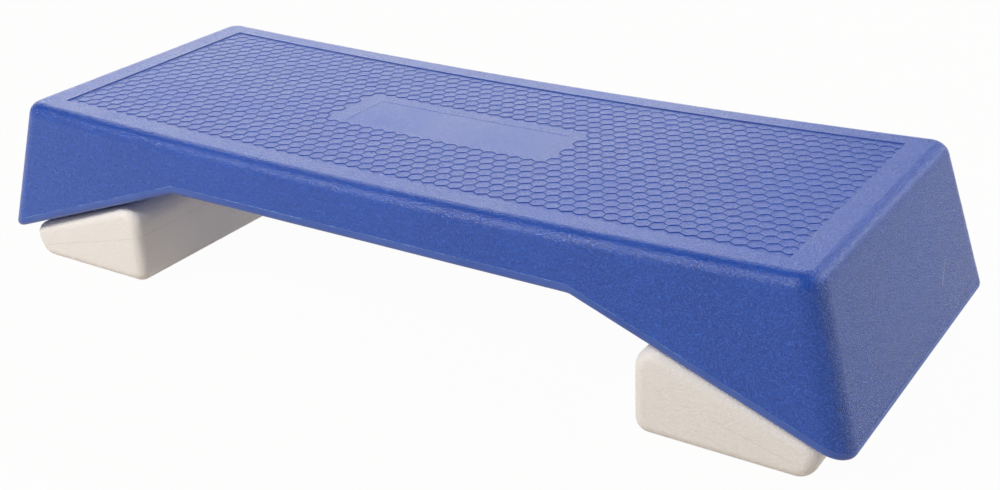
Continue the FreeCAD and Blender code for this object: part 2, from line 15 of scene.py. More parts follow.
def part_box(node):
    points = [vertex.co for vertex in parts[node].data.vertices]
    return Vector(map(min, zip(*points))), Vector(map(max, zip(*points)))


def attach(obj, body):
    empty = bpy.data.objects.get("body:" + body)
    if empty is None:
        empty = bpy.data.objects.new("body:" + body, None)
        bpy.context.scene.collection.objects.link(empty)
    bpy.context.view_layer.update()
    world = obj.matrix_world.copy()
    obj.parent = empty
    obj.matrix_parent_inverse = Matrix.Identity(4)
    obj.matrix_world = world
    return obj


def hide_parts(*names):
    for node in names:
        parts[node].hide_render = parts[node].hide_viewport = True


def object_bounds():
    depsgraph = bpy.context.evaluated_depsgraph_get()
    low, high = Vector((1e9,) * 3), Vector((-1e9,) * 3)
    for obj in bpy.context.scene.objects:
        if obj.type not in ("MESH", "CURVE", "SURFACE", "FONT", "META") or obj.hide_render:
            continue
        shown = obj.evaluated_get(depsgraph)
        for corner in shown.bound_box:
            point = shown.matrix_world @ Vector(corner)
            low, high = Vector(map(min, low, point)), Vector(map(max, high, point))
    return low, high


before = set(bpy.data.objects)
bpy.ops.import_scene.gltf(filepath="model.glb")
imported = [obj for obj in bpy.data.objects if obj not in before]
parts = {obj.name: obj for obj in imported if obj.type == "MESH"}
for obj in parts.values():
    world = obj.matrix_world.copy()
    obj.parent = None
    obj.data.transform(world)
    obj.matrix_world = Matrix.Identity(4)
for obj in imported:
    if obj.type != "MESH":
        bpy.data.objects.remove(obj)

MM = 0.001
solid_box = [list(corner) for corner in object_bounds()]
bpy.ops.object.select_all(action="DESELECT")
print("solids:", len(parts), "box:", solid_box)

# %% [markdown]
# ## The camera
# The step is seen from its near right corner, a little above, with a normal lens. The place and turn were
# worked out from the straight borders of the tread, so every corner falls where the eye expects it.
# We could aim a camera by hand with a Track To constraint, but plain numbers stay exact. The Standard view
# transform shows colours as they are written.

# %% Camera
CAMERA_PLACE = (0.80943, -1.12309, 0.69322)
CAMERA_TURN = (64.716, 2.4094, 32.9446)
SENSOR_WIDTH = 36.0
LENS = 51.257

turn = [math.radians(angle) for angle in CAMERA_TURN]
bpy.ops.object.camera_add(location=CAMERA_PLACE, rotation=turn)
camera = bpy.context.object
camera.name = "studio_camera"
camera.data.sensor_width = SENSOR_WIDTH
camera.data.lens = LENS
bpy.context.scene.camera = camera
bpy.context.scene.view_settings.view_transform = "Standard"
print("camera at", tuple(round(value, 3) for value in camera.location))

# %% [markdown]
# ## Small helpers for finishes
# A finish is a node tree, and most trees repeat the same few moves. One helper adds a node and fills its
# sockets with either a value or a link; the others name the moves we use most: arithmetic, a ramp between
# two values, a mix of two colours, a noise, and the three parts of a vector.

# %% Node helpers
def add_node(tree, kind, sockets=None, **settings):
    """Add a node, set its options, and fill each named socket with a value or a link."""
    node = tree.nodes.new(kind)
    for name, value in settings.items():
        setattr(node, name, value)
    for name, value in (sockets or {}).items():
        if isinstance(value, bpy.types.NodeSocket):
            tree.links.new(value, node.inputs[name])
        else:
            node.inputs[name].default_value = value
    return node


def calc(tree, operation, first, second=0.0):
    """Arithmetic on two values or links."""
    return add_node(tree, "ShaderNodeMath", {0: first, 1: second}, operation=operation).outputs[0]


def ramp(tree, value, low, high, start=0.0, end=1.0):
    """Bring a value from the range low..high to start..end, clamped."""
    sockets = {"Value": value, "From Min": low, "From Max": high, "To Min": start, "To Max": end}
    return add_node(tree, "ShaderNodeMapRange", sockets, interpolation_type="SMOOTHSTEP").outputs[0]


def tint(tree, share, first, second):
    """Mix two colours, each a link or four numbers."""
    mix = add_node(tree, "ShaderNodeMix", data_type="RGBA")
    for socket, value in ((mix.inputs[0], share), (mix.inputs[6], first), (mix.inputs[7], second)):
        if isinstance(value, bpy.types.NodeSocket):
            tree.links.new(value, socket)
        else:
            socket.default_value = value
    return mix.outputs[2]


def noise(tree, coords, scale, detail=2.0, roughness=0.5):
    """Noise with a number of swings for each metre."""
    sockets = {"Vector": coords, "Scale": scale, "Detail": detail, "Roughness": roughness}
    return add_node(tree, "ShaderNodeTexNoise", sockets).outputs[0]


def split(tree, vector):
    """The X, Y and Z of a place or a way."""
    return add_node(tree, "ShaderNodeSeparateXYZ", {0: vector}).outputs


def surface_facing(tree):
    """The X, Y and Z of the way that the surface looks."""
    return split(tree, add_node(tree, "ShaderNodeNewGeometry").outputs["Normal"])


print("node helpers ready")


# %% Finish helpers
def new_finish(name):
    """Empty finish with its shader and the piece's own coordinates."""
    finish = bpy.data.materials.new(name)
    finish.use_nodes = True
    tree = finish.node_tree
    tree.nodes.clear()
    shader = add_node(tree, "ShaderNodeBsdfPrincipled")
    output = add_node(tree, "ShaderNodeOutputMaterial")
    tree.links.new(shader.outputs[0], output.inputs[0])
    coords = add_node(tree, "ShaderNodeTexCoord").outputs["Object"]
    return finish, tree, shader, coords


def dress(piece, finish):
    """Give a piece one finish in every material slot."""
    piece.data.materials.clear()
    piece.data.materials.append(finish)
    piece.data.polygons.foreach_set("material_index", [0] * len(piece.data.polygons))


print("finish helpers ready")

# %% [markdown]
# ## The deck's grained plastic
# The deck is polyethylene coloured right through, with a spark-eroded grain from the mould: low pebbles
# about one and a half millimetres across that break up every reflection, deepest on the two ends. We could
# paint such a grain in an image, but two noises of different sizes give it at any zoom. The same noise
# makes the pebble tops a little paler and glossier, because use whitens and polishes them. The plate in the
# middle of the tread came from a smoother insert of the mould, so a box-shaped mask takes most of the grain
# away there. The same mask paints the plate paler, a painted sheen for the light its smooth face mirrors.

# %% Grained plastic
PLATE_HALF = (117.5 * MM, 32.0 * MM)
PLATE_EDGE = 1.0 * MM
# How much paler the plate is painted: a painted sheen for its smooth face.
PLATE_PAINTED_SHEEN = 0.22
PLATE_TOPS = 0.15
PLATE_RELIEF = 0.35
PLATE_ROUGHER = 0.09
END_FACING = (0.60, 0.92)
END_GRAIN_SHARES = (0.33, 1.0)
FINE_RATIO = 2.3
FINE_SHARE = 0.3
SWELL_RATIO = 0.4
PLAIN_DETAIL = 1.0
CLOUDS = (9.0, 4.0, 0.6)
CLOUD_GLOSS = (0.25, 0.75)
CLOUD_TINT = (0.3, 0.7, 0.0, 0.12)
TOP_LEVELS = (0.55, 0.9)
TOP_POLISH = (0.07, -0.10)
TOP_TINT = 0.8


def plate_mask(tree, coords):
    """One inside the smooth plate in the tread, zero elsewhere."""
    place = split(tree, coords)
    masks = []
    for axis, half in zip((0, 1), PLATE_HALF):
        reach = calc(tree, "ABSOLUTE", place[axis])
        masks.append(ramp(tree, reach, half - PLATE_EDGE, half, 1.0, 0.0))
    return calc(tree, "MULTIPLY", *masks)


def end_depth(tree):
    """Share of the grain's full depth: the mould's two ends are etched deepest."""
    endways = calc(tree, "ABSOLUTE", surface_facing(tree)[0])
    return ramp(tree, endways, *END_FACING, *END_GRAIN_SHARES)


def grained_plastic(name, dark, pale, pebble, depth, roughness, swell=0.0, smooth_plate=False):
    """Moulded plastic with pebbles of a given size and depth, on wider swellings if asked for."""
    finish, tree, shader, coords = new_finish(name)
    pebbles = noise(tree, coords, 1.0 / pebble)
    fine = noise(tree, coords, FINE_RATIO / pebble, PLAIN_DETAIL)
    clouds = noise(tree, coords, *CLOUDS)
    relief = calc(tree, "ADD", pebbles, calc(tree, "MULTIPLY", fine, FINE_SHARE))
    tops_and_plate_sheen = ramp(tree, relief, *TOP_LEVELS)
    if swell:
        swellings = noise(tree, coords, SWELL_RATIO / pebble, PLAIN_DETAIL)
        relief = calc(tree, "ADD", relief, calc(tree, "MULTIPLY", swellings, swell))
    strength = 1.0
    rough = ramp(tree, clouds, *CLOUD_GLOSS, *roughness)
    rough = calc(tree, "ADD", rough, ramp(tree, tops_and_plate_sheen, 0.0, 1.0, *TOP_POLISH))
    if smooth_plate:
        grained = calc(tree, "SUBTRACT", 1.0, plate_mask(tree, coords))
        tops_and_plate_sheen = calc(tree, "MULTIPLY", tops_and_plate_sheen, ramp(tree, grained, 0.0, 1.0, PLATE_TOPS, 1.0))
        # Painted sheen: the smooth plate is painted paler.
        tops_and_plate_sheen = calc(tree, "ADD", tops_and_plate_sheen, ramp(tree, grained, 0.0, 1.0, PLATE_PAINTED_SHEEN, 0.0))
        strength = ramp(tree, grained, 0.0, 1.0, PLATE_RELIEF, 1.0)
        strength = calc(tree, "MULTIPLY", strength, end_depth(tree))
        rough = calc(tree, "ADD", rough, ramp(tree, grained, 0.0, 1.0, PLATE_ROUGHER, 0.0))
    body = tint(tree, ramp(tree, clouds, *CLOUD_TINT), dark, pale)
    colour = tint(tree, calc(tree, "MULTIPLY", tops_and_plate_sheen, TOP_TINT), body, pale)
    tree.links.new(colour, shader.inputs["Base Color"])
    tree.links.new(rough, shader.inputs["Roughness"])
    bump = add_node(tree, "ShaderNodeBump", {"Height": relief, "Strength": strength, "Distance": depth})
    tree.links.new(bump.outputs[0], shader.inputs["Normal"])
    return finish, tree, shader, coords


print("grained plastic ready")

# %% [markdown]
# ## Marks of making and use, and a painted highlight
# Two small marks tell that the deck is a real moulding in use: the round witness line of an ejector pin on
# the near border and a fine scratch down the right-hand end. A pale line round the tread's field is a
# painted highlight for the light on the lip's rounded edge. The marks could be cut into the mesh, but they
# are hardly deeper than a hair, so all three are masks laid over the finished colour. Each row of the table
# holds a mask, its share and its colour.

# %% Marks and a painted highlight
TOP_LOWEST = 150.0 * MM
PIN_MIDDLE = (-386.0 * MM, -157.0 * MM, 0.0)
PIN_RADIUS = 17.0 * MM
PIN_LINE = 0.8 * MM
FIELD_HALF = (426.0 * MM, 141.5 * MM)
LIP_WIDTH = 1.0 * MM
SCRATCH_TOP = Vector((0.0, 99.0, 100.0)) * MM
SCRATCH_END = Vector((0.0, 72.0, 75.5)) * MM
SCRATCH_WIDTH = 1.0 * MM
SCRATCH_FACE = 470.0 * MM
SCRATCH_MIDDLE = 0.5
SCRATCH_FADE = (0.3, 0.5)


def pin_mask(tree, coords):
    """Thin ring round the ejector pin's place on the top."""
    place = split(tree, coords)
    flat = add_node(tree, "ShaderNodeCombineXYZ", {0: place[0], 1: place[1]}).outputs[0]
    sockets = {0: flat, 1: PIN_MIDDLE}
    reach = add_node(tree, "ShaderNodeVectorMath", sockets, operation="DISTANCE").outputs["Value"]
    off_line = calc(tree, "ABSOLUTE", calc(tree, "SUBTRACT", reach, PIN_RADIUS))
    ring = ramp(tree, off_line, 0.0, PIN_LINE, 1.0, 0.0)
    return calc(tree, "MULTIPLY", ring, calc(tree, "GREATER_THAN", place[2], TOP_LOWEST))


def lip_highlight_mask(tree, coords):
    """Thin pale line on the lip round the tread's field, a painted highlight for its rounded edge."""
    place = split(tree, coords)
    beyond = [
        calc(tree, "SUBTRACT", calc(tree, "ABSOLUTE", place[axis]), half)
        for axis, half in zip((0, 1), FIELD_HALF)
    ]
    off_lip = calc(tree, "MAXIMUM", *beyond)
    line = ramp(tree, calc(tree, "ABSOLUTE", off_lip), 0.0, LIP_WIDTH, 1.0, 0.0)
    return calc(tree, "MULTIPLY", line, calc(tree, "GREATER_THAN", place[2], TOP_LOWEST))


def scratch_mask(tree, coords):
    """Thin line down the right-hand end, fading out at both its ends."""
    way = SCRATCH_END - SCRATCH_TOP
    along_way = way / way.length_squared
    across_way = Vector((0.0, way.z, -way.y)).normalized()

    def measure(direction):
        """How far a place lies from the scratch's top along a direction."""
        sockets = {0: coords, 1: tuple(direction)}
        reach = add_node(tree, "ShaderNodeVectorMath", sockets, operation="DOT_PRODUCT").outputs["Value"]
        return calc(tree, "SUBTRACT", reach, SCRATCH_TOP.dot(direction))

    middle_share = calc(tree, "ABSOLUTE", calc(tree, "SUBTRACT", measure(along_way), SCRATCH_MIDDLE))
    line = ramp(tree, calc(tree, "ABSOLUTE", measure(across_way)), 0.0, SCRATCH_WIDTH, 1.0, 0.0)
    line = calc(tree, "MULTIPLY", line, ramp(tree, middle_share, *SCRATCH_FADE, 1.0, 0.0))
    place = split(tree, coords)
    return calc(tree, "MULTIPLY", line, calc(tree, "GREATER_THAN", place[0], SCRATCH_FACE))


print("marks ready")

# %% Deck finish
DECK_BLUE = (0.009, 0.053, 0.320, 1.0)
DECK_PALE = (0.042, 0.150, 0.670, 1.0)
DECK_ROUGHNESS = (0.24, 0.32)
PEBBLE = 1.5 * MM
PEBBLE_DEPTH = 2.1 * MM
MARKS_AND_HIGHLIGHT = (
    (pin_mask, 0.5, (0.030, 0.085, 0.330, 1.0)),
    # Painted highlight: a pale line on the lip's rounded edge.
    (lip_highlight_mask, 0.2, (0.240, 0.290, 0.560, 1.0)),
    (scratch_mask, 0.9, (0.380, 0.400, 0.600, 1.0)),
)

deck_finish, tree, shader, coords = grained_plastic(
    "deck_grain", DECK_BLUE, DECK_PALE, PEBBLE, PEBBLE_DEPTH, DECK_ROUGHNESS, smooth_plate=True
)
colour = shader.inputs["Base Color"].links[0].from_socket
for mask, share, overlay_colour in MARKS_AND_HIGHLIGHT:
    colour = tint(tree, calc(tree, "MULTIPLY", mask(tree, coords), share), colour, overlay_colour)
tree.links.new(colour, shader.inputs["Base Color"])
dress(parts["deck_shell"], deck_finish)
print("deck finish:", len(tree.nodes), "nodes")

# %% [markdown]
# ## The smooth rim
# Below the weld line the mould wasn't grained, so the rim round the underside is plain, with a soft even
# gloss. One flat colour would look like paint, so slow changes of tone and a faint ripple stand for the way
# the plastic flowed.

# %% Rim finish
RIM_BLUE = (0.036, 0.090, 0.385, 1.0)
RIM_PALE = (0.060, 0.122, 0.435, 1.0)
RIM_ROUGHNESS = (0.38, 0.46)
FLOW_MARKS = (14.0, 4.0, 0.6)
FLOW_LEVELS = (0.3, 0.7)
RIPPLE_SCALE = 260.0
RIPPLE_STRENGTH = 0.12
RIPPLE_DEPTH = 0.4 * MM


def smooth_plastic(name, dark, pale, roughness):
    """Ungrained plastic with faint flow marks."""
    finish, tree, shader, coords = new_finish(name)
    flow = noise(tree, coords, *FLOW_MARKS)
    ripple = noise(tree, coords, RIPPLE_SCALE)
    tree.links.new(tint(tree, ramp(tree, flow, *FLOW_LEVELS), dark, pale), shader.inputs["Base Color"])
    tree.links.new(ramp(tree, flow, *FLOW_LEVELS, *roughness), shader.inputs["Roughness"])
    sockets = {"Height": ripple, "Strength": RIPPLE_STRENGTH, "Distance": RIPPLE_DEPTH}
    bump = add_node(tree, "ShaderNodeBump", sockets)
    tree.links.new(bump.outputs[0], shader.inputs["Normal"])
    return finish


rim_finish = smooth_plastic("rim_smooth", RIM_BLUE, RIM_PALE, RIM_ROUGHNESS)
dress(parts["deck_base"], rim_finish)
print("rim finish:", len(rim_finish.node_tree.nodes), "nodes")

# %% [markdown]
# ## The feet's grey plastic
# The feet are the same kind of plastic in a warm light grey. Their pebbles are as wide as the deck's but
# much lower, and they lie on broad, soft swellings, which a third, larger noise gives.

# %% Foot finish
FOOT_GREY = (0.905, 0.845, 0.785, 1.0)
FOOT_PALE = (0.970, 0.918, 0.872, 1.0)
FOOT_PEBBLE = 1.5 * MM
FOOT_DEPTH = 0.42 * MM
FOOT_SWELL = 1.0
FOOT_ROUGHNESS = (0.44, 0.54)
SIDES = ("left", "right")

foot_finish = grained_plastic(
    "foot_grain", FOOT_GREY, FOOT_PALE, FOOT_PEBBLE, FOOT_DEPTH, FOOT_ROUGHNESS, FOOT_SWELL
)[0]
for side in SIDES:
    for half in ("upper", "lower"):
        dress(parts[f"{side}_foot_{half}_shell"], foot_finish)
print("foot finish:", len(foot_finish.node_tree.nodes), "nodes")

# %% [markdown]
# ## Rubber, nylon and steel
# The sockets and pads are matt black rubber, the studs are off-white nylon and the screws zinc-plated
# steel. They hide inside or underneath, but a foot can be pulled off, so each gets its own finish.

# %% Hidden finishes
RUBBER_DARK = (0.012, 0.012, 0.013, 1.0)
RUBBER_PALE = (0.035, 0.034, 0.033, 1.0)
NYLON_DARK = (0.62, 0.60, 0.55, 1.0)
NYLON_PALE = (0.72, 0.70, 0.66, 1.0)
STEEL_DARK = (0.42, 0.42, 0.41, 1.0)
STEEL_PALE = (0.62, 0.62, 0.60, 1.0)
RUBBER_ROUGHNESS = (0.68, 0.82)
NYLON_ROUGHNESS = (0.42, 0.52)
STEEL_ROUGHNESS = (0.3, 0.42)

rubber_finish = smooth_plastic("matt_rubber", RUBBER_DARK, RUBBER_PALE, RUBBER_ROUGHNESS)
nylon_finish = smooth_plastic("stud_nylon", NYLON_DARK, NYLON_PALE, NYLON_ROUGHNESS)
steel_finish = smooth_plastic("zinc_steel", STEEL_DARK, STEEL_PALE, STEEL_ROUGHNESS)
steel_finish.node_tree.nodes["Principled BSDF"].inputs["Metallic"].default_value = 1.0
for name, piece in parts.items():
    if name.endswith(("socket", "pad")):
        dress(piece, rubber_finish)
    elif name.endswith("stud"):
        dress(piece, nylon_finish)
    elif name.endswith("screws"):
        dress(piece, steel_finish)
print("small pieces dressed")

# %% [markdown]
# ## The honeycomb tread
# The tread is a field of raised ridges that draw regular hexagons, so shoes grip in every direction.
# One cell is a six-sided disc: its rim becomes half a ridge by an inset, a second small inset breaks the
# ridge's edge, and a third one makes the sloping wall down to the floor, which is then taken out. Two
# arrays repeat the cell, the cells on the plate and outside the field are deleted, and merging the
# doubles joins neighbours into whole ridges.

# %% Honeycomb cell
CELL_PITCH = 15.17 * MM
CELL_ROW = CELL_PITCH * math.sqrt(3) / 2
CELL_RADIUS = CELL_PITCH / math.sqrt(3)
RIDGE_WIDTH = 0.8 * MM
RIDGE_HEIGHT = 0.5 * MM
RIDGE_BREAK = 0.15 * MM
WALL_DRAFT = 0.30 * MM
SUNK = 0.25 * MM

bpy.ops.mesh.primitive_circle_add(vertices=6, radius=CELL_RADIUS, fill_type="NGON")
tread = bpy.context.object
tread.name = "honeycomb_tread"
bpy.ops.object.mode_set(mode="EDIT")
bpy.ops.mesh.select_mode(type="FACE")
bpy.ops.mesh.inset(thickness=RIDGE_WIDTH / 2 - RIDGE_BREAK, depth=0.0)
bpy.ops.mesh.inset(thickness=RIDGE_BREAK, depth=-RIDGE_BREAK)
bpy.ops.mesh.inset(thickness=WALL_DRAFT, depth=-(RIDGE_HEIGHT - RIDGE_BREAK + SUNK))
bpy.ops.mesh.delete(type="FACE")
bpy.ops.object.mode_set(mode="OBJECT")
cell_faces = len(tread.data.polygons)
print("one cell:", cell_faces, "faces, box", tuple(round(side / MM, 2) for side in tread.dimensions))

# %% Honeycomb field
FIELD_CLEAR = 0.15 * MM
CELL_ROWS = 21
FIRST_ROW = -126.1 * MM
ROW_START = 11.3 * MM
BARE_HALF = (141.0 * MM, 47.0 * MM)
BARE_MIDDLE = (-3.0 * MM, 2.0 * MM)
CELL_MERGE = 0.02 * MM

lean = (CELL_ROWS - 1) * CELL_PITCH / 2
cells_before = math.ceil((FIELD_HALF[0] + lean + ROW_START) / CELL_PITCH)
first_x = ROW_START - cells_before * CELL_PITCH
cells_along = math.ceil((FIELD_HALF[0] - first_x) / CELL_PITCH) + 1


def repeat(piece, name, count, step):
    """Apply an array of copies a step apart."""
    array = piece.modifiers.new(name, "ARRAY")
    array.count = count
    array.use_relative_offset = False
    array.use_constant_offset = True
    array.constant_offset_displace = step
    bpy.ops.object.modifier_apply(modifier=name)


repeat(tread, "along", cells_along, (CELL_PITCH, 0.0, 0.0))
repeat(tread, "across", CELL_ROWS, (CELL_PITCH / 2, CELL_ROW, 0.0))
bpy.ops.transform.translate(value=(first_x, FIRST_ROW, 0.0))
bpy.ops.object.transform_apply(location=True, rotation=True, scale=True)


def is_bare(cell):
    """True for a cell on the plate's margin or wholly outside the field."""
    row, column = divmod(cell, cells_along)
    x = first_x + column * CELL_PITCH + row * CELL_PITCH / 2
    y = FIRST_ROW + row * CELL_ROW
    outside = abs(x) > FIELD_HALF[0] + CELL_PITCH / 2
    on_plate = all(abs(at - middle) < half for at, middle, half in zip((x, y), BARE_MIDDLE, BARE_HALF))
    return outside or on_plate


bare = [is_bare(number // cell_faces) for number in range(len(tread.data.polygons))]
tread.data.polygons.foreach_set("select", bare)
bpy.ops.object.mode_set(mode="EDIT")
bpy.ops.mesh.delete(type="FACE")
bpy.ops.mesh.select_all(action="SELECT")
bpy.ops.mesh.remove_doubles(threshold=CELL_MERGE)
for side, axis in ((1, 0), (-1, 0), (1, 1), (-1, 1)):
    normal = [0.0, 0.0, 0.0]
    normal[axis] = side
    edge = [(FIELD_HALF[axis] - FIELD_CLEAR) * share for share in normal]
    bpy.ops.mesh.select_all(action="SELECT")
    bpy.ops.mesh.bisect(plane_co=edge, plane_no=normal, clear_outer=True)
bpy.ops.object.mode_set(mode="OBJECT")
print("honeycomb:", len(tread.data.polygons), "faces")

# %% [markdown]
# The ridges' tops are painted paler: partly the whitening by shoes, partly a painted highlight for the
# sheen they catch. The steep walls get painted shade, a deeper blue, and keep the gloss of the cutter that
# made them, which is why the pattern shows from every side. The finish tells tops and walls apart by how
# steep the surface is. The walls that run along the deck get the most painted shade.

# %% Ridge finish
# Paler ridge tops: shoe wear plus a painted highlight for the sheen they catch.
RIDGE_WEAR_AND_HIGHLIGHT = (0.140, 0.240, 0.640, 1.0)
# Painted shade: the deep blue laid on the steep ridge walls.
RIDGE_WALL_SHADE = (0.002, 0.048, 0.440, 1.0)
WEAR_AND_HIGHLIGHT_SHARE = 0.45
WALL_SHADE_SHARE = 0.7
SLANT_SHARE = 0.2
ACROSS_LEVELS = (0.46, 0.68)
WALL_GLOSS = 0.55
WALL_UP = 0.55
BREAK_UP = 0.80
TOP_UP = 0.95

ridge_depth = PEBBLE_DEPTH * END_GRAIN_SHARES[0]
ridge_finish, tree, shader = grained_plastic(
    "ridge_grain", DECK_BLUE, DECK_PALE, PEBBLE, ridge_depth, DECK_ROUGHNESS
)[:3]
facing = surface_facing(tree)
across = calc(tree, "ABSOLUTE", facing[1])
# Painted shade on the steep walls, strongest on the walls that run along the deck.
wall_shade = ramp(tree, facing[2], WALL_UP, BREAK_UP, WALL_SHADE_SHARE, 0.0)
wall_shade = calc(tree, "MULTIPLY", wall_shade, ramp(tree, across, *ACROSS_LEVELS, SLANT_SHARE, 1.0))
colour = shader.inputs["Base Color"].links[0].from_socket
# Ridge tops painted paler: shoe wear plus a painted highlight.
colour = tint(tree, ramp(tree, facing[2], BREAK_UP, TOP_UP, 0.0, WEAR_AND_HIGHLIGHT_SHARE), colour, RIDGE_WEAR_AND_HIGHLIGHT)
colour = tint(tree, wall_shade, colour, RIDGE_WALL_SHADE)
tree.links.new(colour, shader.inputs["Base Color"])
rough = shader.inputs["Roughness"].links[0].from_socket
rough = calc(tree, "MULTIPLY", rough, ramp(tree, facing[2], BREAK_UP, TOP_UP, WALL_GLOSS, 1.0))
tree.links.new(rough, shader.inputs["Roughness"])
print("ridge finish:", len(tree.nodes), "nodes")

# %% [markdown]
# Where the honeycomb stops, its last half ridge needs an outer wall, so we pick the open edges at ridge
# level and extrude them down. Then every point is set on the tread's floor, which sags a few millimetres
# towards the middle of the deck. A formula could give that sag, but a ray cast down on the deck finds the
# floor just as it is.

# %% Outer walls and sag
DOWN = (0.0, 0.0, -1.0)
FLAT_COSINE = 0.9
above_deck = 2.0 * solid_box[1][2]


def tread_floor(x, y):
    """Height of the tread's floor at a place, found by a ray from above."""
    return parts["deck_shell"].ray_cast((x, y, above_deck), DOWN)[1].z


shape = bmesh.new()
shape.from_mesh(tread.data)
open_top = [
    edge.is_boundary and all(abs(vert.co.z) < RIDGE_BREAK / 2 for vert in edge.verts)
    for edge in shape.edges
]
shape.free()
bpy.context.tool_settings.mesh_select_mode = (False, True, False)
bpy.ops.object.mode_set(mode="EDIT")
bpy.ops.mesh.select_all(action="DESELECT")
bpy.ops.object.mode_set(mode="OBJECT")
tread.data.edges.foreach_set("select", open_top)
bpy.ops.object.mode_set(mode="EDIT")
wall_drop = (0.0, 0.0, -(RIDGE_HEIGHT + SUNK))
bpy.ops.mesh.extrude_edges_move(TRANSFORM_OT_translate={"value": wall_drop})
bpy.ops.mesh.select_all(action="SELECT")
bpy.ops.mesh.normals_make_consistent(inside=False)
bpy.ops.object.mode_set(mode="OBJECT")
for point in tread.data.vertices:
    point.co.z += tread_floor(point.co.x, point.co.y) + RIDGE_HEIGHT
dress(tread, ridge_finish)
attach(tread, "deck")
tops_up = sum(face.normal.z > FLAT_COSINE for face in tread.data.polygons)
print("honeycomb:", len(tread.data.polygons), "faces,", tops_up, "face up")

# %% [markdown]
# ## Weld beads
# Where the two halves of a hollow moulding are pressed together, a thin bead stays on the seam, paler
# than the rest because the plastic is stretched there. We copy the lower half, pick the edges of its joint
# face, keep only the longest chain, which is the outer one, and give it a round section as a curve.

# %% Weld bead helpers
JOINT_COSINE = 0.97
JOINT_MERGE = 0.005 * MM
BEAD_MERGE = 0.1 * MM
BEAD_STEPS = 1


def longest_chain(edges):
    """The connected chain of edges with the greatest length."""
    left = set(edges)
    chains = []
    while left:
        chain = []
        queue = [left.pop()]
        while queue:
            edge = queue.pop()
            chain.append(edge)
            touching = {other for vert in edge.verts for other in vert.link_edges} & left
            left -= touching
            queue.extend(touching)
        chains.append(chain)
    return max(chains, key=lambda chain: sum(edge.calc_length() for edge in chain))


def seam_loop(piece, name, joint_normal):
    """Wire along the outer edge of a piece's joint face."""
    bpy.ops.object.select_all(action="DESELECT")
    copy = piece.copy()
    copy.data = piece.data.copy()
    copy.parent = None
    for key in list(copy.keys()):
        del copy[key]
    bpy.context.scene.collection.objects.link(copy)
    copy.select_set(True)
    bpy.context.view_layer.objects.active = copy
    bpy.ops.object.mode_set(mode="EDIT")
    bpy.ops.mesh.select_all(action="SELECT")
    bpy.ops.mesh.remove_doubles(threshold=JOINT_MERGE)
    bpy.ops.mesh.select_all(action="DESELECT")
    bpy.ops.object.mode_set(mode="OBJECT")
    shape = bmesh.new()
    shape.from_mesh(copy.data)
    shape.normal_update()
    borders = []
    for edge in shape.edges:
        on_joint = [
            face.normal.dot(joint_normal(face.calc_center_median())) > JOINT_COSINE
            for face in edge.link_faces
        ]
        if len(on_joint) == 2 and on_joint[0] != on_joint[1]:
            borders.append(edge)
    chain = longest_chain(borders)
    length = sum(edge.calc_length() for edge in chain)
    chosen = {edge.index for edge in chain}
    copy.data.edges.foreach_set("select", [edge.index in chosen for edge in shape.edges])
    shape.free()
    bpy.ops.object.mode_set(mode="EDIT")
    bpy.ops.mesh.duplicate()
    bpy.ops.mesh.separate(type="SELECTED")
    bpy.ops.object.mode_set(mode="OBJECT")
    loop = next(item for item in bpy.context.selected_objects if item is not copy)
    bpy.data.objects.remove(copy)
    loop.name = name
    bpy.ops.object.select_all(action="DESELECT")
    loop.select_set(True)
    bpy.context.view_layer.objects.active = loop
    print(name, "loop:", len(chosen), "edges,", round(length / MM), "mm")
    return loop


def make_bead(loop, radius, middle, draw_in, finish, body):
    """Round bead along a loop that is first drawn in towards a middle by a length along X and Y."""
    bpy.ops.object.mode_set(mode="EDIT")
    bpy.ops.mesh.select_all(action="SELECT")
    bpy.ops.mesh.remove_doubles(threshold=BEAD_MERGE)
    shares = [1.0 - 2.0 * draw_in / loop.dimensions[axis] for axis in (0, 1)]
    bpy.ops.transform.resize(value=(*shares, 1.0), center_override=middle)
    bpy.ops.object.mode_set(mode="OBJECT")
    bpy.ops.object.convert(target="CURVE")
    loop.data.bevel_depth = radius
    loop.data.bevel_resolution = BEAD_STEPS
    bpy.ops.object.convert(target="MESH")
    bead = bpy.context.object
    bpy.ops.object.shade_smooth()
    dress(bead, finish)
    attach(bead, body)
    print(bead.name, "faces:", len(bead.data.polygons))


# %% Deck weld bead
SLOPE = 91.5 / 266.0
BEND_AT = 239.0 * MM
DECK_BEAD_RADIUS = 0.5 * MM
DECK_BEAD_SUNK = 0.35 * MM
BEAD_BLUE = (0.055, 0.145, 0.450, 1.0)
BEAD_PALE = (0.190, 0.370, 0.650, 1.0)
BEAD_PATCH = 16.0 * MM
PATCH_DETAIL = (3.0, 0.65)
PATCH_LEVELS = (0.46, 0.68)
SEAM_ROUGHNESS = (0.42, 0.55)


def seam_plastic(name, plain, whitened, patch):
    """Stretched plastic of a seam, whitened in patches."""
    finish, tree, shader, coords = new_finish(name)
    patches = ramp(tree, noise(tree, coords, 1.0 / patch, *PATCH_DETAIL), *PATCH_LEVELS)
    tree.links.new(tint(tree, patches, plain, whitened), shader.inputs["Base Color"])
    tree.links.new(ramp(tree, patches, 0.0, 1.0, *SEAM_ROUGHNESS), shader.inputs["Roughness"])
    return finish


bead_finish = seam_plastic("weld_bead", BEAD_BLUE, BEAD_PALE, BEAD_PATCH)


def deck_joint(place):
    """Way the deck's joint face looks at a place: straight up, or square to a slope."""
    lean_by = math.copysign(SLOPE, place.x) if abs(place.x) > BEND_AT else 0.0
    return Vector((lean_by, 0.0, 1.0)).normalized()


loop = seam_loop(parts["deck_base"], "deck_weld_bead", deck_joint)
make_bead(loop, DECK_BEAD_RADIUS, (0.0, 0.0, 0.0), DECK_BEAD_SUNK, bead_finish, "deck")

# %% [markdown]
# A foot's seam slants from its tall inner end to its low outer end. Its slant is read from the lower half
# itself: of the faces that look mostly upwards and not to the side, the joint has by far the most area.

